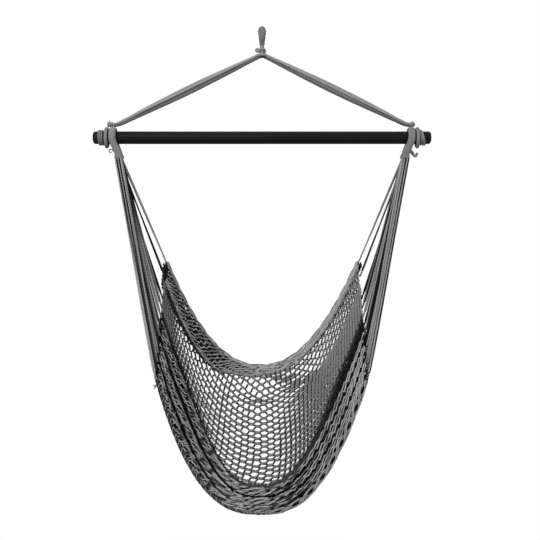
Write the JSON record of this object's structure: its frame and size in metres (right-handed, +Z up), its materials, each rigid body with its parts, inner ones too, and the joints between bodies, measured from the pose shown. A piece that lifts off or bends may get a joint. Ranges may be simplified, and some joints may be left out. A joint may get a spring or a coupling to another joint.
{
  "type": "hammock chair",
  "caption": "Hanging chair with a cord net seat slung by fanned cords from the two ends of a round spreader bar, on a V of twisted cords with one served hanging eye.",
  "frame": {"origin": "where a hook bears on the inside of the hanging eye's crown", "axes": "+Z up, +X along the spreader bar to the right as the picture shows it, -Y toward the side that the sitter faces"},
  "size_m": [1.016, 0.4738, 1.4162],
  "materials": {
    "cord": "matte",
    "served_cord": "matte",
    "stained_wood": "matte"
  },
  "bodies": {
    "hanging_eye": {"hanging_eye": "served_cord"},
    "neck": {"hanging_neck": "served_cord"},
    "apex": {"apex_bight": "served_cord", "apex_seizing": "served_cord", "apex_tail": "served_cord"},
    "hanger": {"spreader_bar": "stained_wood", "left_leg_strand_1": "cord", "left_leg_strand_2": "cord", "left_leg_strand_3": "cord", "left_leg_strand_4": "cord", "right_leg_strand_1": "cord", "right_leg_strand_2": "cord", "right_leg_strand_3": "cord", "right_leg_strand_4": "cord", "left_hanger_eye": "served_cord", "left_hanger_knot": "cord", "left_lashing": "cord", "right_hanger_eye": "served_cord", "right_hanger_knot": "cord", "right_lashing": "cord"},
    "seat": {"left_seat_eye": "served_cord", "left_seat_tail": "served_cord", "right_seat_eye": "served_cord", "right_seat_tail": "served_cord", "left_cord_01": "cord", "left_cord_02": "cord", "left_cord_03": "cord", "left_cord_04": "cord", "left_cord_05": "cord", "left_cord_06": "cord", "left_cord_07": "cord", "left_cord_08": "cord", "left_cord_09": "cord", "left_cord_10": "cord", "left_cord_11": "cord", "left_cord_12": "cord", "right_cord_01": "cord", "right_cord_02": "cord", "right_cord_03": "cord", "right_cord_04": "cord", "right_cord_05": "cord", "right_cord_06": "cord", "right_cord_07": "cord", "right_cord_08": "cord", "right_cord_09": "cord", "right_cord_10": "cord", "right_cord_11": "cord", "right_cord_12": "cord", "seat_net": "cord", "front_edge_cord": "cord", "back_edge_cord": "cord"}
  },
  "joints": [
    {"name": "neck_turn", "type": "hinge", "parent": "hanging_eye", "child": "neck", "pos_m": [0, 0, -0.036], "axis": [0, 0, 1], "range_deg": [-90, 90]},
    {"name": "fore_aft_swing", "type": "hinge", "parent": "neck", "child": "apex", "pos_m": [0, 0, -0.047], "axis": [1, 0, 0], "range_deg": [-30, 30]},
    {"name": "side_rock", "type": "hinge", "parent": "apex", "child": "hanger", "pos_m": [0, 0, -0.047], "axis": [0, 1, 0], "range_deg": [-12, 12]},
    {"name": "seat_swing", "type": "hinge", "parent": "hanger", "child": "seat", "pos_m": [0, 0, -0.315], "axis": [1, 0, 0], "range_deg": [-35, 35]}
  ]
}
